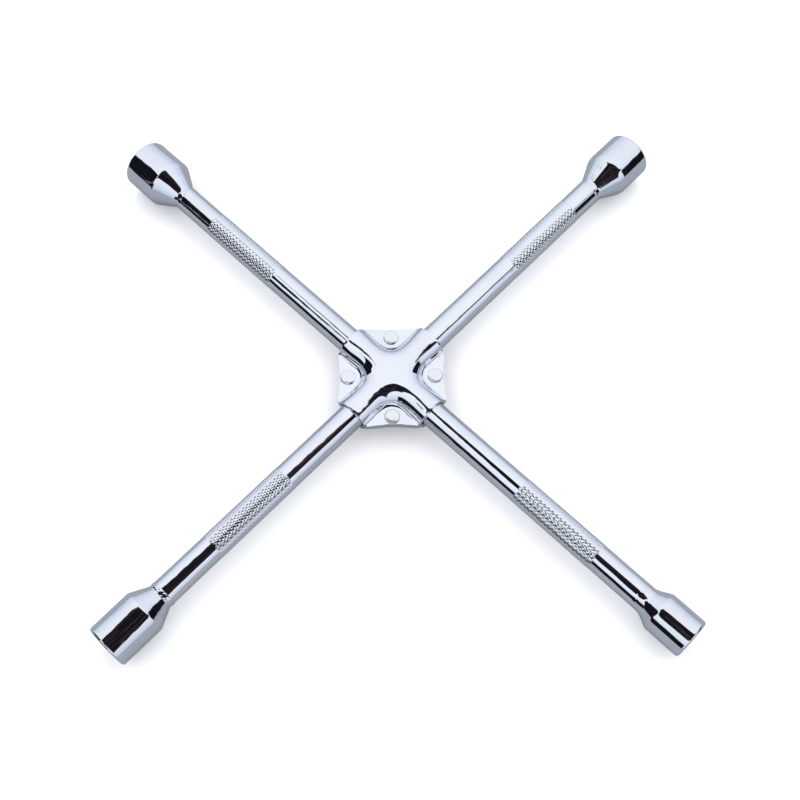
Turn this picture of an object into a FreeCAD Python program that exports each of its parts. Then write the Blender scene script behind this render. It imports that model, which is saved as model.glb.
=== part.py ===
import FreeCAD, Part
import os
import Sketcher

# A four-way lug wrench: two crossed 16 mm bars with a hex socket on each of the
# four ends, joined at the middle by welds under a riveted pair of cover plates.
# The bars lie along X and Y in the plane Z = 0 and cross at the origin.

doc = FreeCAD.newDocument("lug_wrench")

# ---------------------------------------------------------------- driving sizes

DIMENSIONS = {
    "reach_x": 226.0,            # crossing to the mouth of the sockets on the X bar
    "reach_y": 222.5,            # the same on the Y bar
    "rod_diameter": 16.0,
    "knurl_diameter": 16.4,
    "knurl_length": 57.0,
    "knurl_ramp": 0.4,           # run-out of the knurl at each end of its band
    "weld_groove": 1.5,          # depth of each half of the V between bar and socket
    "weld_crown_dressed": 0.05,  # weld ring ground nearly flush
    "weld_crown_laid": 0.3,      # weld ring left as laid
    "cope_gap": 0.1,             # fit-up gap between the coped half bars and the through bar
    "cope_start": 3.0,           # where the thin horns of the coped end are cut back to
    "corner_bead": 2.0,          # section radius of the weld in each corner of the cross
    "corner_bead_lift": 0.4,     # how far the bead's middle stands off the seam
    "corner_bead_sweep": 112.0,  # degrees of arc that the bead follows round the corner
    "hex_depth": 18.0,
    "relief_depth": 3.0,         # round run-out below the hexagon
    "drill_point": 118.0,        # degrees, the drill's cone at the bottom of the bore
    "lead_in": 0.8,              # chamfer at the mouth of the bore
    "mouth_round": 1.6,          # rounding of the outer edge of the mouth
    "sheet": 2.0,                # cover plate thickness
    "sheet_clearance": 0.05,     # between the bars and the cover plates
    "tunnel_reach": 33.7,        # crossing to the cut end of each tunnel
    "tunnel_round": 6.0,         # inside rounding of the tunnel roof
    "foot_bend": 1.5,            # bend between tunnel wall and flange, on its hollow side
    "valley_round": 10.5,        # rounding of the four valleys, seen from above
    "rivet_circle": 26.0,        # crossing to each rivet
    "rivet_shank": 6.0,
    "rivet_hole": 6.2,
    "rivet_head": 9.2,
    "rivet_head_height": 1.4,
    "rivet_tail": 8.8,           # the upset head, on the back plate
    "rivet_tail_height": 1.2,
    "rivet_head_round": 1.0,
    "rivet_tail_round": 0.8,
}

# One column for each socket, named by its hexagon's size across the flats.
SOCKETS = {
    23: {"hexagon": 23.0, "outside": 32.0, "length": 41.5, "neck": 3.0, "flare": 14.0,
         "neck_round": 3.0, "shoulder_round": 2.0, "knurl_middle": 128.0},
    21: {"hexagon": 21.0, "outside": 30.0, "length": 41.0, "neck": 3.0, "flare": 14.5,
         "neck_round": 3.0, "shoulder_round": 9.0, "knurl_middle": 133.0},
    17: {"hexagon": 17.0, "outside": 24.4, "length": 35.7, "neck": 5.0, "flare": 8.0,
         "neck_round": 8.0, "shoulder_round": 4.0, "knurl_middle": 131.0},
    19: {"hexagon": 19.0, "outside": 27.2, "length": 40.7, "neck": 2.0, "flare": 11.0,
         "neck_round": 1.0, "shoulder_round": 3.0, "knurl_middle": 116.0},
}

# Direction of each arm in degrees from +X, and the driving size that sets its reach.
ARMS = {
    17: (0, "reach_x"),
    21: (90, "reach_y"),
    23: (180, "reach_x"),
    19: (270, "reach_y"),
}

# The corners between neighbouring arms, going round from +X.
CORNERS = [(17, 21), (21, 23), (23, 19), (19, 17)]
CORNER_STEP = 90
FIRST_CORNER = 45

NEARNESS = 1e-3   # mm, how close an edge lies to the place that names it

sheet = doc.addObject("Spreadsheet::Sheet", "Sizes")


def fill_sheet():
    """Write every driving size to its own row, with the name as its alias."""
    sizes = dict(DIMENSIONS)
    for size, column in SOCKETS.items():
        for name, value in column.items():
            sizes[f"{name}_{size}mm"] = value
    for row, (alias, value) in enumerate(sizes.items(), start=1):
        sheet.set(f"A{row}", alias)
        sheet.set(f"B{row}", str(value))
        sheet.setAlias(f"B{row}", alias)
    doc.recompute()


# --------------------------------------------------------------- shared helpers

def sized(expression):
    """The value of an expression in the sheet's names, in mm."""
    return float(sheet.evalExpression(expression.replace("Sizes.", "")))


def origin_plane(body, role):
    """One of the body's own origin planes, found by its role."""
    return next(feature for feature in body.Origin.OriginFeatures if feature.Role == role)


def new_body(label):
    body = doc.addObject("PartDesign::Body", label)
    body.Label = label
    return body


def new_sketch(body, name, role):
    sketch = body.newObject("Sketcher::SketchObject", name)
    sketch.AttachmentSupport = [(origin_plane(body, role), "")]
    sketch.MapMode = "FlatFace"
    return sketch


def pin_point(sketch, geometry, point, axis, expression):
    """Hold one coordinate of a sketch point to an expression."""
    value = sized(expression)
    if abs(value) < NEARNESS:
        across = {"X": -2, "Y": -1}[axis]
        sketch.addConstraint(Sketcher.Constraint("PointOnObject", geometry, point, across))
        return
    constraint = Sketcher.Constraint("Distance" + axis, -1, 1, geometry, point, value)
    index = sketch.addConstraint(constraint)
    sketch.setExpression(f"Constraints[{index}]", expression)


def draw_outline(sketch, corners):
    """A closed straight-sided outline; each corner is a pair of expressions."""
    points = [FreeCAD.Vector(sized(across), sized(up), 0) for across, up in corners]
    count = len(points)
    for index, point in enumerate(points):
        sketch.addGeometry(Part.LineSegment(point, points[(index + 1) % count]))
    for index in range(count):
        following = (index + 1) % count
        sketch.addConstraint(Sketcher.Constraint("Coincident", index, 2, following, 1))
    for index, (across, up) in enumerate(corners):
        pin_point(sketch, index, 1, "X", across)
        pin_point(sketch, index, 1, "Y", up)
    doc.recompute()


def draw_circle(sketch, across, up, diameter):
    """A circle whose middle and diameter are expressions."""
    middle = FreeCAD.Vector(sized(across), sized(up), 0)
    sketch.addGeometry(Part.Circle(middle, FreeCAD.Vector(0, 0, 1), sized(diameter) / 2))
    pin_point(sketch, 0, 3, "X", across)
    pin_point(sketch, 0, 3, "Y", up)
    index = sketch.addConstraint(Sketcher.Constraint("Diameter", 0, sized(diameter)))
    sketch.setExpression(f"Constraints[{index}]", diameter)
    doc.recompute()


def revolve(body, name, sketch):
    """Turn a profile round the sketch's own level axis, the body's X axis."""
    turned = body.newObject("PartDesign::Revolution", name)
    turned.Profile = sketch
    turned.ReferenceAxis = (sketch, ["H_Axis"])
    turned.Angle = 360
    doc.recompute()
    return turned


def extrude(body, name, sketch, length):
    pad = body.newObject("PartDesign::Pad", name)
    pad.Profile = sketch
    pad.setExpression("Length", length)
    doc.recompute()
    return pad


def pocket(body, name, sketch, length=None, flipped=False):
    """Cut a sketch into the body: to a length, or right through both ways."""
    cut = body.newObject("PartDesign::Pocket", name)
    before = body.Shape.Volume
    cut.Profile = sketch
    if length is None:
        cut.Type = "ThroughAll"
        cut.Midplane = True
    else:
        cut.setExpression("Length", length)
        cut.Reversed = flipped
    doc.recompute()
    assert body.Shape.Volume < before, f"{body.Label}: {name} cuts nothing"
    return cut


def round_edges(body, name, radius, chosen):
    """Fillet the edges of the body's tip that the test picks."""
    base = body.Tip
    edges = [f"Edge{index}" for index, edge in enumerate(base.Shape.Edges, start=1)
             if chosen(edge)]
    assert edges, f"{body.Label}: no edge for {name}"
    fillet = body.newObject("PartDesign::Fillet", name)
    fillet.Base = (base, edges)
    fillet.setExpression("Radius", radius)
    doc.recompute()
    return fillet


def near(value, expression):
    return abs(value - sized(expression)) < NEARNESS


def full_circle_at(place, radius):
    """A test for the circular edge round the X axis at one place and radius."""
    def chosen(edge):
        round_x = hasattr(edge.Curve, "Radius") and near(edge.BoundBox.XLength, "0")
        return round_x and near(edge.BoundBox.XMin, place) and near(edge.Curve.Radius, radius)
    return chosen


def set_on_arm(piece, degrees, distance="0", tip=0):
    """Point a piece's X axis along an arm, a distance out, after tipping it about Y."""
    tipped = FreeCAD.Rotation(FreeCAD.Vector(0, 1, 0), tip)
    turned = FreeCAD.Rotation(FreeCAD.Vector(0, 0, 1), degrees)
    piece.Placement = FreeCAD.Placement(FreeCAD.Vector(0, 0, 0), turned * tipped)
    piece.setExpression("Placement.Base.x", f"({distance}) * cos({degrees})")
    piece.setExpression("Placement.Base.y", f"({distance}) * sin({degrees})")
    doc.recompute()


# ------------------------------------------------------------------------ bars

ROD_RADIUS = "Sizes.rod_diameter / 2"
KNURL_RADIUS = "Sizes.knurl_diameter / 2"
GROOVE_RADIUS = "Sizes.rod_diameter / 2 - Sizes.weld_groove"


def weld_face(size):
    """How far from the crossing a bar ends and its socket begins."""
    return f"Sizes.{ARMS[size][1]} - Sizes.length_{size}mm"


def bar_side(size, sign):
    """Profile corners of one side of a bar, from the inner end of its knurl outwards."""
    middle = f"Sizes.knurl_middle_{size}mm"
    inner = f"{middle} - Sizes.knurl_length / 2"
    outer = f"{middle} + Sizes.knurl_length / 2"
    end = weld_face(size)
    steps = [
        (inner, ROD_RADIUS),
        (f"{inner} + Sizes.knurl_ramp", KNURL_RADIUS),
        (f"{outer} - Sizes.knurl_ramp", KNURL_RADIUS),
        (outer, ROD_RADIUS),
        (f"{end} - Sizes.weld_groove", ROD_RADIUS),
        (end, GROOVE_RADIUS),
        (end, "0"),
    ]
    return [(f"{sign} * ({along})", radius) for along, radius in steps]


def make_through_rod():
    """The full-length bar, turned, with a knurled band on each side."""
    body = new_body("through_rod")
    profile = new_sketch(body, "through_rod_profile", "XY_Plane")
    draw_outline(profile, bar_side(23, -1)[::-1] + bar_side(17, 1))
    revolve(body, "through_rod_turned", profile)
    return body


def make_half_rod(size):
    """A half bar with its inner end coped to saddle the through bar."""
    label = f"half_rod_{size}mm"
    body = new_body(label)
    profile = new_sketch(body, f"{label}_profile", "XY_Plane")
    start = "Sizes.cope_start"
    draw_outline(profile, [(start, "0"), (start, ROD_RADIUS)] + bar_side(size, 1))
    revolve(body, f"{label}_turned", profile)
    saddle = new_sketch(body, f"{label}_saddle", "XZ_Plane")
    draw_circle(saddle, "0", "0", "Sizes.rod_diameter + 2 * Sizes.cope_gap")
    pocket(body, f"{label}_cope", saddle)
    set_on_arm(body, ARMS[size][0])
    return body


# --------------------------------------------------------------------- sockets

def hexagon_corners(across_flats):
    """Corners of a hexagon with two level flats, as expressions."""
    corners = []
    for index in range(6):
        angle = 60 * index
        corners.append((f"{across_flats} / sqrt(3) * cos({angle})",
                        f"{across_flats} / sqrt(3) * sin({angle})"))
    return corners


def make_socket(size):
    """A forged socket: neck, flare and barrel, a drilled bore and a broached hexagon."""
    label = f"socket_{size}mm"
    body = new_body(label)
    length = f"Sizes.length_{size}mm"
    neck = f"Sizes.neck_{size}mm"
    shoulder = f"{neck} + Sizes.flare_{size}mm"
    outside = f"Sizes.outside_{size}mm / 2"
    bore = f"Sizes.hexagon_{size}mm / 2"
    bore_floor = f"{length} - Sizes.hex_depth - Sizes.relief_depth"
    profile = new_sketch(body, f"{label}_profile", "XY_Plane")
    draw_outline(profile, [
        ("0", "0"),
        ("0", GROOVE_RADIUS),
        ("Sizes.weld_groove", ROD_RADIUS),
        (neck, ROD_RADIUS),
        (shoulder, outside),
        (length, outside),
        (length, f"{bore} + Sizes.lead_in"),
        (f"{length} - Sizes.lead_in", bore),
        (bore_floor, bore),
        (f"{bore_floor} - {bore} / tan(Sizes.drill_point / 2)", "0"),
    ])
    revolve(body, f"{label}_turned", profile)
    round_edges(body, f"{label}_mouth_round", "Sizes.mouth_round",
                full_circle_at(length, outside))
    round_edges(body, f"{label}_shoulder_round", f"Sizes.shoulder_round_{size}mm",
                full_circle_at(shoulder, outside))
    round_edges(body, f"{label}_neck_round", f"Sizes.neck_round_{size}mm",
                full_circle_at(neck, ROD_RADIUS))
    hexagon = new_sketch(body, f"{label}_hexagon", "YZ_Plane")
    hexagon.setExpression("AttachmentOffset.Base.z", length)
    draw_outline(hexagon, hexagon_corners(f"Sizes.hexagon_{size}mm"))
    pocket(body, f"{label}_broach", hexagon, "Sizes.hex_depth")
    set_on_arm(body, ARMS[size][0], weld_face(size))
    return body


# ------------------------------------------------------- welds, neck and middle

def make_neck_weld(size):
    """The ring of weld that fills the V between a bar's end and its socket."""
    label = f"neck_weld_{size}mm"
    crown = "Sizes.weld_crown_laid" if size == 19 else "Sizes.weld_crown_dressed"
    groove = "Sizes.weld_groove"
    body = new_body(label)
    profile = new_sketch(body, f"{label}_profile", "XY_Plane")
    draw_outline(profile, [
        ("0", GROOVE_RADIUS),
        (groove, ROD_RADIUS),
        (f"{groove} / 2", f"{ROD_RADIUS} + {crown}"),
        (f"-{groove} / 2", f"{ROD_RADIUS} + {crown}"),
        (f"-{groove}", ROD_RADIUS),
    ])
    revolve(body, f"{label}_turned", profile)
    set_on_arm(body, ARMS[size][0], weld_face(size))
    return body


def bar_tool(label, degrees):
    """A plain cylinder along a bar, from one side of the crossing to the other."""
    tool = doc.addObject("Part::Cylinder", label)
    tool.setExpression("Radius", f"{ROD_RADIUS} + Sizes.cope_gap")
    tool.setExpression("Height", "2 * Sizes.tunnel_reach")
    set_on_arm(tool, degrees, "-Sizes.tunnel_reach", tip=90)
    return tool


def make_corner_weld(index, pair):
    """The bead in one corner of the cross, an arc that the two bars cut flush."""
    label = "corner_weld_{}_{}mm".format(*pair)
    seam = f"{ROD_RADIUS} / sqrt(2)"
    bead = doc.addObject("Part::Torus", f"{label}_bead")
    bead.setExpression("Radius1", f"{seam} + Sizes.corner_bead_lift")
    bead.setExpression("Radius2", "Sizes.corner_bead")
    bead.setExpression("Angle3", "Sizes.corner_bead_sweep")
    upright = FreeCAD.Rotation(FreeCAD.Vector(1, 0, 0), 90)
    centred = FreeCAD.Rotation(FreeCAD.Vector(0, 0, 1), -sized("Sizes.corner_bead_sweep") / 2)
    bead.Placement = FreeCAD.Placement(FreeCAD.Vector(sized(seam), 0, 0), upright * centred)
    bars = doc.addObject("Part::MultiFuse", f"{label}_bars")
    bars.Shapes = [bar_tool(f"{label}_bar_left", 45), bar_tool(f"{label}_bar_right", -45)]
    weld = doc.addObject("Part::Cut", label)
    weld.Label = label
    weld.Base = bead
    weld.Tool = bars
    doc.recompute()
    set_on_arm(weld, FIRST_CORNER + CORNER_STEP * index)
    return weld


# ---------------------------------------------------------------- cover plates

CAVITY_WALL = "(Sizes.rod_diameter / 2 + Sizes.sheet_clearance)"
TUNNEL_WALL = "(Sizes.rod_diameter / 2 + Sizes.sheet_clearance + Sizes.sheet)"
REACH = "Sizes.tunnel_reach"


def four_turns(quarter):
    """Repeat a quarter of an outline at each right angle round the origin."""
    first = [(f"({across})", f"({up})") for across, up in quarter]
    second = [(f"-{up}", across) for across, up in first]
    third = [(f"-{across}", f"-{up}") for across, up in first]
    fourth = [(up, f"-{across}") for across, up in first]
    return first + second + third + fourth


def cross_outline(wall, reach):
    """The twelve corners of a cross with equal arms."""
    return four_turns([(reach, wall), (wall, wall), (wall, reach)])


def flange_outline():
    """The plate's flat outline: an ear's straight edge joins each two tunnel ends."""
    half_end = f"{TUNNEL_WALL} + Sizes.foot_bend"
    return four_turns([(REACH, half_end), (half_end, REACH)])


def upright_corners(wall):
    """A test for the upright edges at the four inside corners of a cross."""
    def chosen(edge):
        box = edge.BoundBox
        upright = box.XLength < NEARNESS and box.YLength < NEARNESS
        return upright and near(abs(box.XMin), wall) and near(abs(box.YMin), wall)
    return chosen


def wall_edges(height, wall, corner_radius):
    """A test for the level edges that follow a cross's walls and its rounded corners."""
    def chosen(edge):
        box = edge.BoundBox
        if box.ZLength > NEARNESS or not near(box.ZMin, height):
            return False
        along_x = box.YLength < NEARNESS and near(abs(box.YMin), wall)
        along_y = box.XLength < NEARNESS and near(abs(box.XMin), wall)
        rounded = hasattr(edge.Curve, "Radius") and near(edge.Curve.Radius, corner_radius)
        return along_x or along_y or rounded
    return chosen


def make_cover_plate(label, turned_over):
    """A stamped half shell: crossed tunnels, a flange with four ears, four rivet holes."""
    body = new_body(label)
    flange = new_sketch(body, f"{label}_flange_outline", "XY_Plane")
    draw_outline(flange, flange_outline())
    extrude(body, f"{label}_flange", flange, "Sizes.sheet")
    tunnels = new_sketch(body, f"{label}_tunnel_outline", "XY_Plane")
    draw_outline(tunnels, cross_outline(TUNNEL_WALL, REACH))
    extrude(body, f"{label}_tunnels", tunnels, TUNNEL_WALL)
    round_edges(body, f"{label}_valleys", "Sizes.valley_round", upright_corners(TUNNEL_WALL))
    cavity = new_sketch(body, f"{label}_cavity_outline", "XY_Plane")
    draw_outline(cavity, cross_outline(CAVITY_WALL, f"{REACH} + Sizes.sheet"))
    pocket(body, f"{label}_cavity", cavity, CAVITY_WALL, flipped=True)
    inner_valley = "Sizes.valley_round + Sizes.sheet"
    round_edges(body, f"{label}_inner_valleys", inner_valley, upright_corners(CAVITY_WALL))
    round_edges(body, f"{label}_inner_roof", "Sizes.tunnel_round",
                wall_edges(CAVITY_WALL, CAVITY_WALL, inner_valley))
    round_edges(body, f"{label}_roof_round", "Sizes.tunnel_round + Sizes.sheet",
                wall_edges(TUNNEL_WALL, TUNNEL_WALL, "Sizes.valley_round"))
    round_edges(body, f"{label}_foot", "Sizes.foot_bend",
                wall_edges("Sizes.sheet", TUNNEL_WALL, "Sizes.valley_round"))
    round_edges(body, f"{label}_inner_foot", "Sizes.foot_bend + Sizes.sheet",
                wall_edges("0", CAVITY_WALL, inner_valley))
    hole = new_sketch(body, f"{label}_hole_outline", "XY_Plane")
    on_diagonal = "Sizes.rivet_circle / sqrt(2)"
    draw_circle(hole, on_diagonal, on_diagonal, "Sizes.rivet_hole")
    first = pocket(body, f"{label}_hole", hole)
    holes = body.newObject("PartDesign::PolarPattern", f"{label}_holes")
    holes.Originals = [first]
    holes.Axis = (hole, ["N_Axis"])
    holes.Angle = 360
    holes.Occurrences = len(CORNERS)
    body.Tip = holes
    doc.recompute()
    if turned_over:
        over = FreeCAD.Rotation(FreeCAD.Vector(1, 0, 0), 180)
        body.Placement = FreeCAD.Placement(FreeCAD.Vector(0, 0, 0), over)
    return body


# ---------------------------------------------------------------------- rivets

def make_rivet(index, pair):
    """A solid rivet through both ears: round head in front, upset tail behind."""
    label = "rivet_{}_{}mm".format(*pair)
    body = new_body(label)
    shank = "Sizes.rivet_shank / 2"
    head = "Sizes.rivet_head / 2"
    tail = "Sizes.rivet_tail / 2"
    head_top = "Sizes.sheet + Sizes.rivet_head_height"
    tail_top = "-Sizes.sheet - Sizes.rivet_tail_height"
    profile = new_sketch(body, f"{label}_profile", "XY_Plane")
    draw_outline(profile, [
        (tail_top, "0"),
        (head_top, "0"),
        (head_top, head),
        ("Sizes.sheet", head),
        ("Sizes.sheet", shank),
        ("-Sizes.sheet", shank),
        ("-Sizes.sheet", tail),
        (tail_top, tail),
    ])
    revolve(body, f"{label}_turned", profile)
    round_edges(body, f"{label}_head_round", "Sizes.rivet_head_round",
                full_circle_at(head_top, head))
    round_edges(body, f"{label}_tail_round", "Sizes.rivet_tail_round",
                full_circle_at(tail_top, tail))
    set_on_arm(body, FIRST_CORNER + CORNER_STEP * index, "Sizes.rivet_circle", tip=-90)
    return body


# -------------------------------------------------------------------- assembly

def make_all():
    pieces = [make_through_rod(), make_half_rod(21), make_half_rod(19)]
    for size in SOCKETS:
        pieces.append(make_socket(size))
        pieces.append(make_neck_weld(size))
    for index, pair in enumerate(CORNERS):
        pieces.append(make_corner_weld(index, pair))
        pieces.append(make_rivet(index, pair))
    pieces.append(make_cover_plate("front_cover_plate", turned_over=False))
    pieces.append(make_cover_plate("back_cover_plate", turned_over=True))
    return pieces


def check(pieces):
    """Stop if any object of the document failed or any piece isn't one valid solid."""
    for thing in doc.Objects:
        assert not {"Invalid", "Error"} & set(thing.State), f"{thing.Name} failed"
    for piece in pieces:
        shape = piece.Shape
        assert not shape.isNull() and shape.isValid(), f"{piece.Label} isn't valid"
        assert len(shape.Solids) == 1, f"{piece.Label} has {len(shape.Solids)} solids"


def export(pieces):
    os.makedirs("parts", exist_ok=True)
    for piece in pieces:
        piece.Shape.exportStep(f"parts/{piece.Label}.step")


fill_sheet()
PIECES = make_all()
doc.recompute()
check(PIECES)
export(PIECES)
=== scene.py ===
import math

import bmesh
import bpy
from mathutils import Matrix, Quaternion, Vector


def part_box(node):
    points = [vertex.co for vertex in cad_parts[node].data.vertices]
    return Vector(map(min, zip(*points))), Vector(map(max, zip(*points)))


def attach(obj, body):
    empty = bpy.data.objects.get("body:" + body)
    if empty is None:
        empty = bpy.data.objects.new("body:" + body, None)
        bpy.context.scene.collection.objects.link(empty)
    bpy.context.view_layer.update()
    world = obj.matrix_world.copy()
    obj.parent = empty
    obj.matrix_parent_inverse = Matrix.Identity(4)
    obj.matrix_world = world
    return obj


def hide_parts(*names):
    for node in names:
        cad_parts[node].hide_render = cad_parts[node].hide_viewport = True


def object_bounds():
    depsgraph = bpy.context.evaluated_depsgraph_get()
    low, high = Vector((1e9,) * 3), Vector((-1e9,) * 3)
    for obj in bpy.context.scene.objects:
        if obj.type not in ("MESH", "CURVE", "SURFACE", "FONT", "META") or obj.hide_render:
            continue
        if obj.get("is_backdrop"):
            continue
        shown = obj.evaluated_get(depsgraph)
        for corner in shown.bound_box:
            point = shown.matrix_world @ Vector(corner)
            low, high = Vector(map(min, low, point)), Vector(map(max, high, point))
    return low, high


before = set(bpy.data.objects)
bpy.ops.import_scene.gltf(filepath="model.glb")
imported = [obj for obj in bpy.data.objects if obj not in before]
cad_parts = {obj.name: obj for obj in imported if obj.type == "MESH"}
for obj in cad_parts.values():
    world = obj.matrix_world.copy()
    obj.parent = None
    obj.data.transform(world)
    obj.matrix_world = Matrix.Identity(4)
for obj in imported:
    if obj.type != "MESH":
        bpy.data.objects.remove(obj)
cad_low, cad_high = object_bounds()

# Bench, camera and light.
# The wrench lies on a pale bench in a white light tent. An opening overhead, a seam beside it
# and four gaps round the sides give the chrome its black streaks.


class Shade:
    """One output of a node. Sums on it add Math nodes, and node() adds any other kind."""

    def __init__(self, tree, socket=None):
        self.tree = tree
        self.socket = socket

    def node(self, kind, settings, values, output=0):
        made = self.tree.nodes.new(kind)
        for name, value in settings.items():
            if name == "stops":
                ramp = made.color_ramp.elements
                for index, (place, colour) in enumerate(value):
                    stop = ramp[index] if index < 2 else ramp.new(place)
                    stop.position = place
                    stop.color = (*colour, 1)
            else:
                setattr(made, name, value)
        for name, value in values.items():
            if isinstance(value, Shade):
                self.tree.links.new(value.socket, made.inputs[name])
            else:
                made.inputs[name].default_value = value
        return Shade(self.tree, made.outputs[output] if made.outputs else None)

    def math(self, operation, *values):
        return self.node("ShaderNodeMath", {"operation": operation}, dict(enumerate(values)))

    def __add__(self, other):
        return self.math("ADD", self, other)

    def __sub__(self, other):
        return self.math("SUBTRACT", self, other)

    def __rsub__(self, other):
        return self.math("SUBTRACT", other, self)

    def __mul__(self, other):
        return self.math("MULTIPLY", self, other)

    def __truediv__(self, other):
        return self.math("DIVIDE", self, other)

    __radd__ = __add__
    __rmul__ = __mul__

    def rise(self, start, end):
        """0 below start, 1 above end, and a smooth step between them."""
        settings = {"interpolation_type": "SMOOTHSTEP"}
        ends = {"Value": self, "From Min": start, "From Max": end}
        return self.node("ShaderNodeMapRange", settings, ends)

    def within(self, low, high, edge):
        """1 between low and high, falling to 0 over edge outside them."""
        return self.rise(low - edge, low) * (1 - self.rise(high, high + edge))

    def mix(self, under, over):
        """The colour under where this is 0, and over where it is 1."""
        values = {0: self, 6: under, 7: over}
        return self.node("ShaderNodeMix", {"data_type": "RGBA"}, values, output=2)


CAMERA_AIM = Vector((0.01358, -0.00693, 0))
CAMERA_BEARING = math.radians(46.448)
CAMERA_HEIGHT = math.radians(66.378)
CAMERA_DISTANCE = 0.65921
CAMERA_ROLL = math.radians(-2.64)
CAMERA_LENS = 50.007
CAMERA_SENSOR = 36

back = Vector((
    math.sin(CAMERA_BEARING) * math.cos(CAMERA_HEIGHT),
    -math.cos(CAMERA_BEARING) * math.cos(CAMERA_HEIGHT),
    math.sin(CAMERA_HEIGHT),
))
camera = bpy.data.objects.new("camera", bpy.data.cameras.new("camera"))
camera.data.lens = CAMERA_LENS
camera.data.sensor_width = CAMERA_SENSOR
camera.rotation_mode = "QUATERNION"
camera.location = CAMERA_AIM + back * CAMERA_DISTANCE
level = (-back).to_track_quat("-Z", "Y")
camera.rotation_quaternion = level @ Quaternion((0, 0, 1), CAMERA_ROLL)
bpy.context.scene.collection.objects.link(camera)
bpy.context.scene.camera = camera
bpy.context.scene.view_settings.view_transform = "Standard"

world = bpy.data.worlds.new("light_tent")
bpy.context.scene.world = world
world.use_nodes = True
world.node_tree.nodes.clear()
tent = Shade(world.node_tree)
direction = tent.node("ShaderNodeTexCoord", {}, {})
EAST, NORTH, UP = [
    tent.node("ShaderNodeSeparateXYZ", {}, {0: direction}, output=axis) for axis in range(3)
]
TENT_WALL = [
    (0.0, (0.48, 0.52, 0.60)),
    (0.15, (0.66, 0.70, 0.81)),
    (0.55, (0.84, 0.88, 0.98)),
    (1.0, (0.97, 0.98, 1.0)),
]
CLOTH_LILAC = (1.0, 0.955, 1.0, 1)
CLOTH_CYAN = (0.94, 1.0, 1.0, 1)
ROOM_DARK = (0.007, 0.007, 0.01, 1)
ROOM_LIT = (0.06, 0.04, 0.05, 1)
BACKDROP = (0.90, 0.91, 0.93, 1)
ABOVE_BENCH = UP.rise(0.0, 0.1)
LEAST = 0.01

# The opening overhead is an oblong turned on the compass, with one corner covered by a flap.
OPENING_EAST = 0.20
OPENING_NORTH = -0.12
OPENING_TURN = math.radians(20)
OPENING_LENGTH = (-0.58, 0.60)
OPENING_WIDTH = (-0.36, 0.30)
OPENING_HEM = 0.03
FLAP_LEAN = 1.33
FLAP_HEM = (-0.66, -0.60)
off_east = EAST - OPENING_EAST
off_north = NORTH - OPENING_NORTH
length = off_east * math.cos(OPENING_TURN) + off_north * math.sin(OPENING_TURN)
width = off_north * math.cos(OPENING_TURN) - off_east * math.sin(OPENING_TURN)
oblong = length.within(*OPENING_LENGTH, OPENING_HEM) * width.within(*OPENING_WIDTH, OPENING_HEM)
overhead = oblong * (EAST * FLAP_LEAN + NORTH).rise(*FLAP_HEM) * ABOVE_BENCH

# The seam runs level, a little way along the right wall.
SEAM_SLOPES = (0.84, 1.14)
SEAM_SLOPE_HEM = 0.05
SEAM_RUN = (0.20, 0.47)
SEAM_RUN_HEM = 0.06
seam_slope = EAST / UP.math("MAXIMUM", UP, LEAST)
seam = seam_slope.within(*SEAM_SLOPES, SEAM_SLOPE_HEM) * NORTH.within(*SEAM_RUN, SEAM_RUN_HEM)

GAP_HEM = 0.05
LEFT = math.radians(226.4)
RIGHT = math.radians(46.4)
FRONT = math.radians(-90)


def gap(bearing, sides, heights):
    """A dark gap round a level bearing, its sides and heights given as slopes from it."""
    toward = EAST * math.cos(bearing) + NORTH * math.sin(bearing)
    across = NORTH * math.cos(bearing) - EAST * math.sin(bearing)
    ahead = toward.rise(0.0, 0.02)
    near = toward.math("MAXIMUM", toward, LEAST)
    open_across = (across / near).within(*sides, GAP_HEM)
    return ahead * open_across * (UP / near).within(*heights, GAP_HEM)


dark = overhead
for opening in (
    seam * ABOVE_BENCH,
    gap(LEFT, sides=(-0.40, 0.15), heights=(-0.08, 1.45)),
    gap(LEFT, sides=(-0.64, -0.35), heights=(-0.08, 0.90)),
    gap(FRONT, sides=(-0.65, 0.20), heights=(-0.02, 0.48)),
    gap(RIGHT, sides=(-0.31, 0.50), heights=(-0.05, 0.58)),
):
    dark = dark.math("MAXIMUM", dark, opening)
streaks = tent.node("ShaderNodeTexNoise", {}, {"Vector": direction, "Scale": 7.0, "Detail": 2.0})
room = (streaks.rise(0.45, 0.8) * overhead).mix(ROOM_DARK, ROOM_LIT)
hues = tent.node("ShaderNodeTexNoise", {}, {"Vector": direction, "Scale": 2.2, "Detail": 1.0})
hue = hues.rise(0.35, 0.65).mix(CLOTH_LILAC, CLOTH_CYAN)
cloth = tent.node("ShaderNodeValToRGB", {"stops": TENT_WALL}, {0: UP})
tinted = {"data_type": "RGBA", "blend_type": "MULTIPLY"}
cloth = tent.node("ShaderNodeMix", tinted, {0: 1.0, 6: cloth, 7: hue}, output=2)
inside = dark.mix(cloth, room)
seen = tent.node("ShaderNodeLightPath", {}, {}, output=0)
shown = seen.mix(inside, BACKDROP)
background = tent.node("ShaderNodeBackground", {}, {"Color": shown, "Strength": 1.0})
tent.node("ShaderNodeOutputWorld", {}, {"Surface": background})

LAMP_STRENGTH = 3.0
LAMP_SPREAD = math.radians(150)
lamps = bpy.data.objects.new("overhead_lamps", bpy.data.lights.new("overhead_lamps", "SUN"))
lamps.data.energy = LAMP_STRENGTH
lamps.data.angle = LAMP_SPREAD
lamps.visible_glossy = False
bpy.context.scene.collection.objects.link(lamps)

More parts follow.
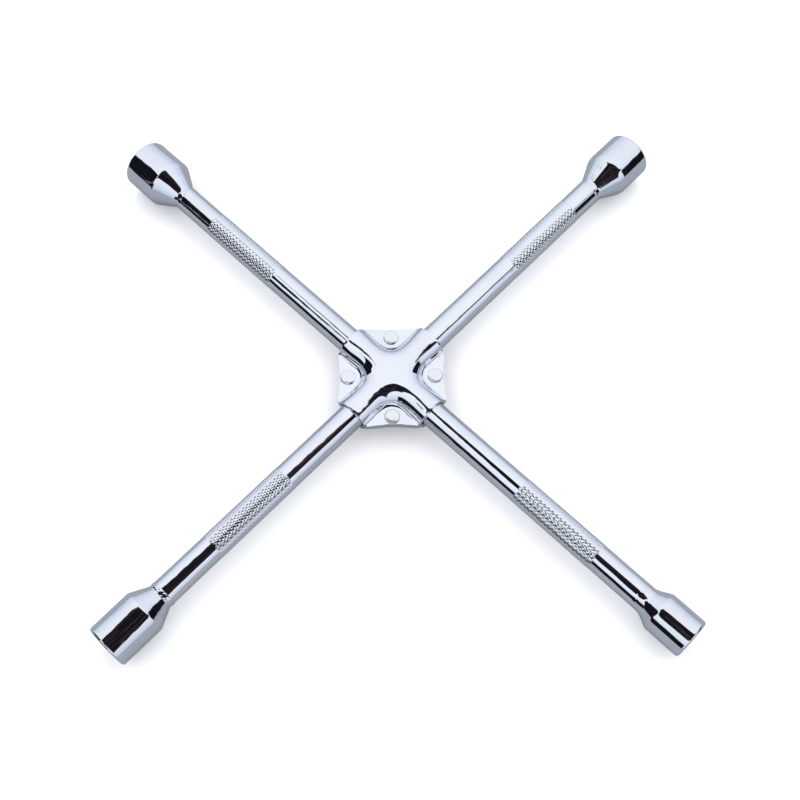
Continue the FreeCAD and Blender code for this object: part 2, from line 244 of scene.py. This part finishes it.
BENCH_TOP = cad_low.z - 0.0002
BENCH_RADIUS = 8.0
LAMINATE_WHITE = (0.93, 0.93, 0.93, 1)
# The camera sees the bench white, but reflections see it in this grey. This is painted shade: it
# stands in for the bench's shade round the wrench and darkens the chrome's lower edges.
BENCH_PAINTED_SHADE_IN_REFLECTIONS = (0.26, 0.275, 0.30, 1)
bm = bmesh.new()
bmesh.ops.create_circle(bm, cap_ends=True, segments=96, radius=BENCH_RADIUS)
bmesh.ops.translate(bm, verts=bm.verts, vec=(0, 0, BENCH_TOP))
bench = bpy.data.objects.new("bench", bpy.data.meshes.new("bench"))
bm.to_mesh(bench.data)
bm.free()
bpy.context.scene.collection.objects.link(bench)
bench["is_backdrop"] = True
laminate = bpy.data.materials.new("bench_laminate")
laminate.use_nodes = True
laminate.node_tree.nodes.clear()
top = Shade(laminate.node_tree)
# Glossy rays get the grey bench, which is painted shade in the chrome's reflections.
glossy = top.node("ShaderNodeLightPath", {}, {}, output=3)
white = top.node("ShaderNodeBsdfDiffuse", {}, {"Color": LAMINATE_WHITE})
painted_shade_bsdf = top.node("ShaderNodeBsdfDiffuse", {}, {"Color": BENCH_PAINTED_SHADE_IN_REFLECTIONS})
both = top.node("ShaderNodeMixShader", {}, {0: glossy, 1: white, 2: painted_shade_bsdf})
top.node("ShaderNodeOutputMaterial", {}, {"Surface": both})
bench.data.materials.append(laminate)

# Bars.
# Two 16 mm steel bars cross in the middle. One runs through along X, and the other is two half
# bars, coped to sit against it. Each arm has a diamond knurl rolled in, then all is chromed.
# Sizes are in millimetres, and finish_piece() turns each piece to metres.
ROD_RADIUS = 8.0
KNURL_CREST = 8.17
KNURL_FLOOR = 8.01
KNURL_LENGTH = 57.0
KNURL_ROWS = 19
DIAMONDS_ROUND = 28
STEPS_PER_DIAMOND = 4
CREST_BY_STEP = (1.0, 0.5, 0.0, 0.5)
SPIN_STEPS = DIAMONDS_ROUND * STEPS_PER_DIAMOND
WELD_GROOVE = 1.5
COPE_START = 3.0
COPE_RADIUS = 8.1
COPE_RINGS = (0.0, 2.0, 4.0, 5.5, 6.7, 7.5)
MILLIMETRE = 0.001
HAIR = 0.001
SHARP = math.radians(28)
KNURL_MIDDLES = {23: 128.0, 21: 133.0, 17: 131.0, 19: 116.0}
HEADINGS = {17: 0, 21: 90, 23: 180, 19: 270}


def spin_outline(outline, steps):
    """Turns an outline of (place along X, radius) pairs into a closed round piece."""
    bm = bmesh.new()
    corners = [bm.verts.new((along, 0, radius)) for along, radius in outline]
    lines = [bm.edges.new(pair) for pair in zip(corners, corners[1:])]
    bmesh.ops.spin(bm, geom=corners + lines, axis=(1, 0, 0), angle=math.tau, steps=steps,
                   use_merge=True)
    bmesh.ops.remove_doubles(bm, verts=bm.verts, dist=HAIR / 10)
    bmesh.ops.recalc_face_normals(bm, faces=bm.faces)
    return bm


def radius_of(vert):
    return math.hypot(vert.co.y, vert.co.z)


def set_radius(vert, radius):
    factor = radius / radius_of(vert)
    vert.co.y *= factor
    vert.co.z *= factor


def roll_knurl(bm, middle):
    """Presses the diamonds into the even rings of one band."""
    rings = KNURL_ROWS * STEPS_PER_DIAMOND
    start = middle - KNURL_LENGTH / 2
    grooves = []
    for vert in bm.verts:
        row = round((vert.co.x - start) / KNURL_LENGTH * rings)
        if 0 < row < rings:
            column = round(math.atan2(vert.co.y, vert.co.z) / math.tau * SPIN_STEPS)
            rising = CREST_BY_STEP[(row + column) % STEPS_PER_DIAMOND]
            falling = CREST_BY_STEP[(row - column) % STEPS_PER_DIAMOND]
            crest = min(rising, falling)
            set_radius(vert, KNURL_FLOOR + crest * (KNURL_CREST - KNURL_FLOOR))
            for face in vert.link_faces:
                face.smooth = False
            if crest == 0:
                grooves.append(vert)
    bmesh.ops.connect_verts(bm, verts=grooves)


def knurl_rings(middle):
    rings = KNURL_ROWS * STEPS_PER_DIAMOND
    start = middle - KNURL_LENGTH / 2
    return [(start + KNURL_LENGTH * ring / rings, ROD_RADIUS) for ring in range(rings + 1)]


def finish_piece(bm, name, finish, nodes, heading=0):
    """Turns a piece to its arm, makes it metres, and stands it in for its CAD nodes."""
    turn = Matrix.Rotation(math.radians(heading), 3, "Z")
    bmesh.ops.rotate(bm, verts=bm.verts, cent=(0, 0, 0), matrix=turn)
    bmesh.ops.scale(bm, verts=bm.verts, vec=(MILLIMETRE, MILLIMETRE, MILLIMETRE))
    mesh = bpy.data.meshes.new(name)
    bm.to_mesh(mesh)
    bm.free()
    piece = bpy.data.objects.new(name, mesh)
    bpy.context.scene.collection.objects.link(piece)
    mesh.materials.append(finish)
    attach(piece, "root")
    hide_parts(*nodes)
    return piece


def smooth_faces(bm, sharp=SHARP):
    for face in bm.faces:
        face.smooth = True
    for edge in bm.edges:
        edge.smooth = edge.calc_face_angle(0) < sharp


POLISHED = 0.025
LINE_DULLING = 0.05
SPECK_DULLING = 0.12
HAZED_SHADE = 0.93
RIPPLES_PER_METRE = 75.0
LINES_PER_METRE = 900.0
HAZE_PER_METRE = 55.0
SPECKS_PER_METRE = 1500.0


def chrome(name, tint, undulation, grain, grain_depth, dulling):
    """Bright plating over worked steel: a slow ripple, the tool's fine lines, and handling haze."""
    material = bpy.data.materials.new(name)
    material.use_nodes = True
    material.node_tree.nodes.clear()
    skin = Shade(material.node_tree)
    place = skin.node("ShaderNodeTexCoord", {}, {}, output=3)
    stretched = skin.node("ShaderNodeMapping", {}, {"Vector": place, "Scale": grain})
    ripple, lines, haze, specks = [
        skin.node("ShaderNodeTexNoise", {}, {"Vector": where, "Scale": scale, "Detail": detail})
        for where, scale, detail in (
            (place, RIPPLES_PER_METRE, 1.5),
            (stretched, LINES_PER_METRE, 3.0),
            (place, HAZE_PER_METRE, 5.0),
            (place, SPECKS_PER_METRE, 2.0),
        )
    ]
    specks = specks.rise(0.70, 0.78)
    wiped = haze.rise(0.42, 0.72)
    drawn = lines.rise(0.55, 0.75)
    rough = POLISHED + wiped * dulling + drawn * LINE_DULLING + specks * SPECK_DULLING
    height = ripple * undulation + lines * grain_depth
    bump = skin.node("ShaderNodeBump", {}, {"Strength": 1.0, "Distance": 0.001, "Height": height})
    dim = tuple(channel * HAZED_SHADE for channel in tint)
    colour = (wiped * 0.5 + specks * 0.5).mix((*tint, 1), (*dim, 1))
    surface = skin.node("ShaderNodeBsdfPrincipled", {}, {
        "Base Color": colour, "Metallic": 1.0, "Roughness": rough, "Normal": bump})
    skin.node("ShaderNodeOutputMaterial", {}, {"Surface": surface})
    return material


BAR_TINT = (0.92, 0.93, 0.96)
DRAWN_ALONG_X = (0.02, 1.0, 1.0)
DRAWN_ALONG_Y = (1.0, 0.02, 1.0)
bar_chrome_x = chrome("bar_chrome_x", BAR_TINT, 0.18, DRAWN_ALONG_X, 0.004, 0.05)
bar_chrome_y = chrome("bar_chrome_y", BAR_TINT, 0.18, DRAWN_ALONG_Y, 0.004, 0.05)

low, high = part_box("through_rod")
west, east = low.x / MILLIMETRE, high.x / MILLIMETRE
bar = spin_outline([
    (west, 0),
    (west, ROD_RADIUS - WELD_GROOVE),
    (west + WELD_GROOVE, ROD_RADIUS),
    *knurl_rings(-KNURL_MIDDLES[23]),
    *knurl_rings(KNURL_MIDDLES[17]),
    (east - WELD_GROOVE, ROD_RADIUS),
    (east, ROD_RADIUS - WELD_GROOVE),
    (east, 0),
], SPIN_STEPS)
smooth_faces(bar)
roll_knurl(bar, -KNURL_MIDDLES[23])
roll_knurl(bar, KNURL_MIDDLES[17])
finish_piece(bar, "through_bar", bar_chrome_x, ["through_rod"])

for size in (21, 19):
    low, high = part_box(f"half_rod_{size}mm")
    end = max(-low.y, high.y) / MILLIMETRE
    bar = spin_outline([
        *[(COPE_START, ring) for ring in COPE_RINGS],
        (COPE_START, ROD_RADIUS),
        *knurl_rings(KNURL_MIDDLES[size]),
        (end - WELD_GROOVE, ROD_RADIUS),
        (end, ROD_RADIUS - WELD_GROOVE),
        (end, 0),
    ], SPIN_STEPS)
    for vert in bar.verts:
        if abs(vert.co.x - COPE_START) < HAIR:
            saddle = math.sqrt(COPE_RADIUS ** 2 - vert.co.z ** 2)
            vert.co.x = max(COPE_START, saddle)
    smooth_faces(bar)
    roll_knurl(bar, KNURL_MIDDLES[size])
    nodes = [f"half_rod_{size}mm"]
    finish_piece(bar, f"half_bar_{size}mm", bar_chrome_y, nodes, HEADINGS[size])

# Corner welds.
# A bead in each corner of the cross ties the half bars to the through bar. The cover plates
# hide all but a glint of them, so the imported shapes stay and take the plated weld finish.
WELD_TINT = (0.88, 0.89, 0.92)
EVEN = (1.0, 1.0, 1.0)
weld_chrome = chrome("weld_chrome", WELD_TINT, 0.9, EVEN, 0.02, 0.12)
for name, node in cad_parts.items():
    if name.startswith("corner_weld"):
        node.data.materials.clear()
        node.data.materials.append(weld_chrome)

# Sockets.
# Each is a steel forging, turned to a neck, a flare and a barrel, with a drilled bore and a
# broached hexagon. It is butt-welded to its bar, and the four have four sizes of nut.
HEX_DEPTH = 18.0
RELIEF_DEPTH = 3.0
DRILL_SLOPE = math.tan(math.radians(59))
LEAD_IN = 0.8
BROACH_STOCK = 0.4
MOUTH_ROUND = 1.6
SOCKET_STEPS = 96
SOCKETS = {
    23: {"outside": 32.0, "length": 41.5, "neck": 3.0, "flare": 14.0,
         "neck_round": 3.0, "shoulder_round": 2.0},
    21: {"outside": 30.0, "length": 41.0, "neck": 3.0, "flare": 14.5,
         "neck_round": 3.0, "shoulder_round": 9.0},
    17: {"outside": 24.4, "length": 35.7, "neck": 5.0, "flare": 8.0,
         "neck_round": 8.0, "shoulder_round": 4.0},
    19: {"outside": 27.2, "length": 40.7, "neck": 2.0, "flare": 11.0,
         "neck_round": 1.0, "shoulder_round": 3.0},
}
SOCKET_TINT = (0.89, 0.90, 0.94)
TURNED_ALONG_X = (1.0, 0.06, 0.06)
TURNED_ALONG_Y = (0.06, 1.0, 0.06)
socket_chrome_x = chrome("socket_chrome_x", SOCKET_TINT, 0.30, TURNED_ALONG_X, 0.005, 0.06)
socket_chrome_y = chrome("socket_chrome_y", SOCKET_TINT, 0.30, TURNED_ALONG_Y, 0.005, 0.06)


def round_ring(bm, along, radius, rounding, turn):
    """Rounds the ring of edges there. turn is the angle between its two faces."""
    ring = [edge for edge in bm.edges if all(
        abs(vert.co.x - along) < HAIR and abs(radius_of(vert) - radius) < HAIR
        for vert in edge.verts)]
    bmesh.ops.bevel(bm, geom=ring, offset=rounding * math.tan(turn / 2), offset_type="OFFSET",
                    segments=8, profile=0.5, affect="EDGES", material=-1)


def broach_hexagon(bm, mouth, bore):
    """Squares the top of the round bore to six flats, which face up and down."""
    for vert in bm.verts:
        radius = radius_of(vert)
        on_bore = bore + BROACH_STOCK / 2 < radius < bore + LEAD_IN + HAIR
        if on_bore and vert.co.x > mouth - HEX_DEPTH - HAIR:
            angle = math.degrees(math.atan2(vert.co.y, vert.co.z))
            flat = bore / math.cos(math.radians((angle + 30) % 60 - 30))
            if vert.co.x > mouth - HAIR:
                set_radius(vert, max(radius, flat))
            else:
                if vert.co.x > mouth - LEAD_IN - HAIR:
                    vert.co.x = mouth - max(0.0, bore + LEAD_IN - flat)
                set_radius(vert, flat)
    bmesh.ops.remove_doubles(bm, verts=bm.verts, dist=HAIR)


for size, sizes in SOCKETS.items():
    low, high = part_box(f"socket_{size}mm")
    mouth = max(-low.x, high.x, -low.y, high.y) / MILLIMETRE
    weld_face = mouth - sizes["length"]
    neck = weld_face + sizes["neck"]
    shoulder = neck + sizes["flare"]
    outside = sizes["outside"] / 2
    bore = size / 2
    relief = mouth - HEX_DEPTH - RELIEF_DEPTH
    socket = spin_outline([
        (weld_face, 0),
        (weld_face, ROD_RADIUS - WELD_GROOVE),
        (weld_face + WELD_GROOVE, ROD_RADIUS),
        (neck, ROD_RADIUS),
        (shoulder, outside),
        (mouth, outside),
        (mouth, bore + LEAD_IN),
        (mouth - LEAD_IN, bore + BROACH_STOCK),
        (mouth - HEX_DEPTH, bore + BROACH_STOCK),
        (mouth - HEX_DEPTH, bore),
        (relief, bore),
        (relief - bore / DRILL_SLOPE, 0),
    ], SOCKET_STEPS)
    broach_hexagon(socket, mouth, bore)
    slope = math.atan((outside - ROD_RADIUS) / sizes["flare"])
    round_ring(socket, mouth, outside, MOUTH_ROUND, math.radians(90))
    round_ring(socket, shoulder, outside, sizes["shoulder_round"], slope)
    round_ring(socket, neck, ROD_RADIUS, sizes["neck_round"], slope)
    smooth_faces(socket)
    finish = socket_chrome_x if HEADINGS[size] % 180 == 0 else socket_chrome_y
    nodes = [f"socket_{size}mm"]
    name = f"hex_socket_{size}mm"
    finish_piece(socket, name, finish, nodes, HEADINGS[size])

# Neck welds.
# The ring of weld that fills the groove between a bar and its socket. Three are ground nearly
# flush before plating, and the one on the 19 mm socket is left as laid, with its ripples.
BEAD_STEPS = 132
GROUND = (0.05, 0.02)
AS_LAID = (0.22, 0.08)
BEADS = {23: GROUND, 21: GROUND, 17: GROUND, 19: AS_LAID}
BEAD_LOBES = 22
for size, (crown, ripple) in BEADS.items():
    low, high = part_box(f"neck_weld_{size}mm")
    ends = (low.y, high.y) if HEADINGS[size] % 180 else (low.x, high.x)
    weld_face = min(abs(end) for end in ends) / MILLIMETRE + WELD_GROOVE
    bead = spin_outline([
        (weld_face, ROD_RADIUS - WELD_GROOVE),
        (weld_face - WELD_GROOVE, ROD_RADIUS),
        (weld_face - 1.1, ROD_RADIUS + crown * 0.5),
        (weld_face - 0.5, ROD_RADIUS + crown * 0.9),
        (weld_face, ROD_RADIUS + crown),
        (weld_face + 0.5, ROD_RADIUS + crown * 0.9),
        (weld_face + 1.1, ROD_RADIUS + crown * 0.5),
        (weld_face + WELD_GROOVE, ROD_RADIUS),
        (weld_face, ROD_RADIUS - WELD_GROOVE),
    ], BEAD_STEPS)
    for vert in bead.verts:
        if radius_of(vert) > ROD_RADIUS + HAIR:
            angle = math.atan2(vert.co.y, vert.co.z)
            wave = math.sin(BEAD_LOBES * angle + (vert.co.x - weld_face) * 2)
            set_radius(vert, radius_of(vert) + ripple * wave)
    smooth_faces(bead)
    nodes = [f"neck_weld_{size}mm"]
    name = f"neck_bead_{size}mm"
    finish_piece(bead, name, weld_chrome, nodes, HEADINGS[size])

# Cover plates.
# Two alike pressings of 2 mm sheet clamp the crossing from above and below. Each has four
# round tunnels over the arms, deep valleys between them, and four flat ears for the rivets.
SHEET = 2.0
TUNNEL_HALF = 10.05
TUNNEL_REACH = 33.7
ROOF_ROUND = 9.2
ROOF_HEIGHT = 10.05
FOOT_ROUND = 1.5
FOOT_END = 1.39
EAR_CORNER = TUNNEL_HALF + FOOT_END
VALLEY_ROOF_ROUND = 12.0
VALLEY_FOOT_ROUND = 3.0
MOUTH_TO_VALLEY_SHARE = 0.32
VALLEY_ROUND = 10.5
VALLEY_CENTRE = TUNNEL_HALF + VALLEY_ROUND
VALLEY_STEPS = 32
FOOT_STEPS = 7
ROOF_STEPS = 18
TUNNEL_STEPS = 10
EAR_ROWS = 12
ROOF_ROWS = 2
EAR_WAVE = 0.10
EAR_FREE = 21.5
EAR_FREE_RUN = 6.0
EAR_HOLLOW = 0.7
EAR_HOLLOW_START = 28.0
EAR_HOLLOW_RUN = 4.0
EAR_SPAN = 22.0
CREASE_START = Vector((13.0, 31.4))
CREASE_END = Vector((16.4, 23.2))
CREASE_HEIGHT = 0.8
CREASE_HALF = 3.6
CREASE_FADE = 0.7
CUT_EDGE = 0.25
PLATE_SHARP = math.radians(40)
CUT_EDGE_SHARP = math.radians(60)
PLATE_TINT = (0.93, 0.94, 0.985)
plate_chrome = chrome("plate_chrome", PLATE_TINT, 0.45, EVEN, 0.004, 0.06)


def plate_section(roof_round, foot_round):
    """The outer skin across one side of a tunnel: (out from its wall, height), ear to roof."""
    foot_centre = Vector((FOOT_END, SHEET + foot_round))
    rise = foot_centre.y - (ROOF_HEIGHT - roof_round)
    reach = math.sqrt((roof_round + foot_round) ** 2 - rise ** 2)
    roof_centre = Vector((foot_centre.x - reach, ROOF_HEIGHT - roof_round))
    touch = math.atan2(rise, reach)
    section = []
    for step in range(FOOT_STEPS):
        angle = -math.pi / 2 - (math.pi / 2 - touch) * step / FOOT_STEPS
        section.append(foot_centre + foot_round * Vector((math.cos(angle), math.sin(angle))))
    for step in range(ROOF_STEPS + 1):
        angle = touch + (math.pi / 2 - touch) * step / ROOF_STEPS
        section.append(roof_centre + roof_round * Vector((math.cos(angle), math.sin(angle))))
    return section


def widen(vert, sections, along):
    """Moves a point of the plain tunnel section towards the wider one of the valley."""
    narrow, wide = sections
    out = Vector((VALLEY_CENTRE - vert.co.x, VALLEY_CENTRE - vert.co.y))
    if along > 0:
        reach = abs(out.y) if abs(vert.co.x) > abs(vert.co.y) else abs(out.x)
        share = MOUTH_TO_VALLEY_SHARE * (1 + math.cos(math.pi * along)) / 2
    else:
        reach = out.length
        bend = math.sin(2 * math.atan2(out.x, out.y)) ** 2
        share = MOUTH_TO_VALLEY_SHARE + (1 - MOUTH_TO_VALLEY_SHARE) * bend
    place = Vector((VALLEY_ROUND - reach, vert.co.z))
    index = min(range(len(narrow)), key=lambda step: (narrow[step] - place).length)
    moved = narrow[index].lerp(wide[index], share)
    vert.co.z = moved.y
    grow = VALLEY_ROUND - moved.x
    if along > 0:
        if abs(vert.co.x) > abs(vert.co.y):
            vert.co.y = VALLEY_CENTRE - grow
        else:
            vert.co.x = VALLEY_CENTRE - grow
    else:
        out.length = grow
        vert.co.x = VALLEY_CENTRE - out.x
        vert.co.y = VALLEY_CENTRE - out.y


def press_plate():
    """The outer skin of one pressing, made for one quarter and mirrored to the others."""
    bm = bmesh.new()
    section = plate_section(ROOF_ROUND, FOOT_ROUND)
    wide = plate_section(VALLEY_ROOF_ROUND, VALLEY_FOOT_ROUND)
    line = [bm.verts.new((VALLEY_CENTRE, TUNNEL_HALF + out, up)) for out, up in section]
    edges = [bm.edges.new(pair) for pair in zip(line, line[1:])]
    valley = (VALLEY_CENTRE, VALLEY_CENTRE, 0)
    turned = bmesh.ops.spin(bm, geom=line + edges, cent=valley, axis=(0, 0, 1),
                            angle=-math.pi / 2, steps=VALLEY_STEPS)
    last = [part for part in turned["geom_last"] if isinstance(part, bmesh.types.BMEdge)]
    stride = (TUNNEL_REACH - VALLEY_CENTRE) / TUNNEL_STEPS
    for front, along in ((edges, Vector((1, 0, 0))), (last, Vector((0, 1, 0)))):
        for step in range(TUNNEL_STEPS):
            grown = bmesh.ops.extrude_edge_only(bm, edges=front)["geom"]
            moved = [part for part in grown if isinstance(part, bmesh.types.BMVert)]
            bmesh.ops.translate(bm, verts=moved, vec=along * stride)
            front = [part for part in grown if isinstance(part, bmesh.types.BMEdge)
                     and all(vert in moved for vert in part.verts)]
    for vert in bm.verts:
        past = max(vert.co.x, vert.co.y) - VALLEY_CENTRE
        along = past / (TUNNEL_REACH - VALLEY_CENTRE) if past > HAIR else 0
        widen(vert, (section, wide), along)
    ear_edges = []
    roof_edges = []
    for edge in bm.edges:
        if edge.is_boundary and all(abs(vert.co.z - SHEET) < HAIR for vert in edge.verts):
            ear_edges.append(edge)
        if edge.is_boundary and all(abs(vert.co.z - ROOF_HEIGHT) < HAIR for vert in edge.verts):
            roof_edges.append(edge)
    grown = bmesh.ops.extrude_edge_only(bm, edges=ear_edges)["geom"]
    rim = [part for part in grown if isinstance(part, bmesh.types.BMVert)]
    for vert in rim:
        short = (TUNNEL_REACH + EAR_CORNER - vert.co.x - vert.co.y) / 2
        vert.co.x += short
        vert.co.y += short
    ribs = [edge for vert in rim for edge in vert.link_edges
            if sum(end in rim for end in edge.verts) == 1]
    bmesh.ops.subdivide_edges(bm, edges=ribs, cuts=EAR_ROWS, use_grid_fill=True)
    grown = bmesh.ops.extrude_edge_only(bm, edges=roof_edges)["geom"]
    ridge = [part for part in grown if isinstance(part, bmesh.types.BMVert)]
    for vert in ridge:
        if vert.co.x > VALLEY_CENTRE - HAIR:
            vert.co.y = 0
        elif vert.co.y > VALLEY_CENTRE - HAIR:
            vert.co.x = 0
        else:
            arm = Vector((VALLEY_CENTRE - vert.co.x, VALLEY_CENTRE - vert.co.y))
            stretch = VALLEY_CENTRE / max(arm.x, arm.y)
            vert.co.x = VALLEY_CENTRE - arm.x * stretch
            vert.co.y = VALLEY_CENTRE - arm.y * stretch
    ribs = [edge for vert in ridge for edge in vert.link_edges
            if sum(end in ridge for end in edge.verts) == 1]
    bmesh.ops.subdivide_edges(bm, edges=ribs, cuts=ROOF_ROWS, use_grid_fill=True)
    for axis in ("X", "Y"):
        bmesh.ops.mirror(bm, geom=bm.verts[:] + bm.edges[:] + bm.faces[:],
                         matrix=Matrix.Identity(4), merge_dist=HAIR, axis=axis)
    bmesh.ops.remove_doubles(bm, verts=bm.verts, dist=HAIR)
    bmesh.ops.dissolve_degenerate(bm, edges=bm.edges, dist=HAIR / 10)
    bmesh.ops.recalc_face_normals(bm, faces=bm.faces)
    return bm


def share_of(value):
    return max(0.0, min(1.0, value))


def work_ear(vert, creased):
    """Gives a point of an ear the slight wave of thin sheet, the crease, and the hollowed edge."""
    place = Vector((vert.co.x, vert.co.y))
    corner = (abs(place.x) + abs(place.y)) / math.sqrt(2)
    wave = math.sin(place.x * 0.55 + place.y * 0.21) * math.sin(place.y * 0.47 + 1)
    vert.co.z += EAR_WAVE * share_of((corner - EAR_FREE) / EAR_FREE_RUN) * wave
    if creased:
        line = CREASE_END - CREASE_START
        run = share_of((place - CREASE_START).dot(line) / line.length_squared)
        away = (place - CREASE_START.lerp(CREASE_END, run)).length
        fold = max(0.0, 1 - away / CREASE_HALF)
        vert.co.z += CREASE_HEIGHT * fold * (1 - run * CREASE_FADE)
    outer = max(0.0, (corner - EAR_HOLLOW_START) / EAR_HOLLOW_RUN)
    along = (abs(place.x) - abs(place.y)) / EAR_SPAN
    pull = outer * EAR_HOLLOW * (math.cos(along * math.pi) + 1) / 2
    vert.co.x -= math.copysign(pull, place.x)
    vert.co.y -= math.copysign(pull, place.y)


for name, side in (("front_cover", 1), ("back_cover", -1)):
    plate = press_plate()
    for vert in plate.verts:
        if abs(vert.co.z - SHEET) < HAIR:
            work_ear(vert, creased=side > 0)
    bmesh.ops.scale(plate, verts=plate.verts, vec=(1, 1, side))
    bmesh.ops.recalc_face_normals(plate, faces=plate.faces)
    middle = min(plate.faces, key=lambda face: face.calc_center_median().xy.length)
    if middle.normal.z * side < 0:
        bmesh.ops.reverse_faces(plate, faces=plate.faces)
    smooth_faces(plate, PLATE_SHARP)
    cover = finish_piece(plate, name, plate_chrome, [f"{name}_plate"])
    wall = cover.modifiers.new("sheet", "SOLIDIFY")
    wall.thickness = SHEET * MILLIMETRE
    wall.offset = -1
    wall.use_even_offset = True
    edge = cover.modifiers.new("cut_edge", "BEVEL")
    edge.width = CUT_EDGE * MILLIMETRE
    edge.segments = 2
    edge.limit_method = "ANGLE"
    edge.angle_limit = CUT_EDGE_SHARP

# Rivets.
# A steel rivet through each pair of ears, its head on the front plate and its tail closed down
# on the back one. A set leaves a ring and a small dimple in both.
RIVET_CIRCLE = 26.0
RIVET_SHANK = 3.0
HEAD = 4.6
HEAD_HEIGHT = 1.4
TAIL = 4.4
TAIL_HEIGHT = 1.2
RIVET_STEPS = 64
RIVET_SHARP = math.radians(50)
RIVET_BEARINGS = {"17_21": 45, "21_23": 135, "23_19": 225, "19_17": 315}
RIVET_TINT = (0.91, 0.92, 0.95)
rivet_chrome = chrome("rivet_chrome", RIVET_TINT, 0.8, EVEN, 0.01, 0.10)


def set_end(radius, height, out):
    """The outline of a set rivet end from its centre to its edge, out along X."""
    face = SHEET + height
    return [
        (out * (face - 0.08), 0.0),
        (out * (face - 0.07), 0.45),
        (out * (face - 0.01), 0.9),
        (out * face, 1.3),
        (out * (face - 0.02), 2.1),
        (out * (face - 0.05), 2.8),
        (out * (face - 0.09), radius - 1.25),
        (out * (face - 0.15), radius - 1.0),
        (out * (face - 0.13), radius - 0.75),
        (out * (face - 0.20), radius - 0.42),
        (out * (face - 0.42), radius - 0.14),
        (out * (face - 0.75), radius - 0.01),
        (out * (SHEET + 0.2), radius),
        (out * (SHEET + 0.02), radius - 0.1),
    ]


for pair, bearing in RIVET_BEARINGS.items():
    rivet = spin_outline([
        *set_end(HEAD, HEAD_HEIGHT, 1),
        (SHEET, RIVET_SHANK),
        (-SHEET, RIVET_SHANK),
        *reversed(set_end(TAIL, TAIL_HEIGHT, -1)),
    ], RIVET_STEPS)
    bmesh.ops.rotate(rivet, verts=rivet.verts, cent=(0, 0, 0),
                     matrix=Matrix.Rotation(-math.pi / 2, 3, "Y"))
    bmesh.ops.translate(rivet, verts=rivet.verts, vec=(RIVET_CIRCLE, 0, 0))
    smooth_faces(rivet, RIVET_SHARP)
    nodes = [f"rivet_{pair}mm"]
    finish_piece(rivet, f"set_rivet_{pair}mm", rivet_chrome, nodes, bearing)

low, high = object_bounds()
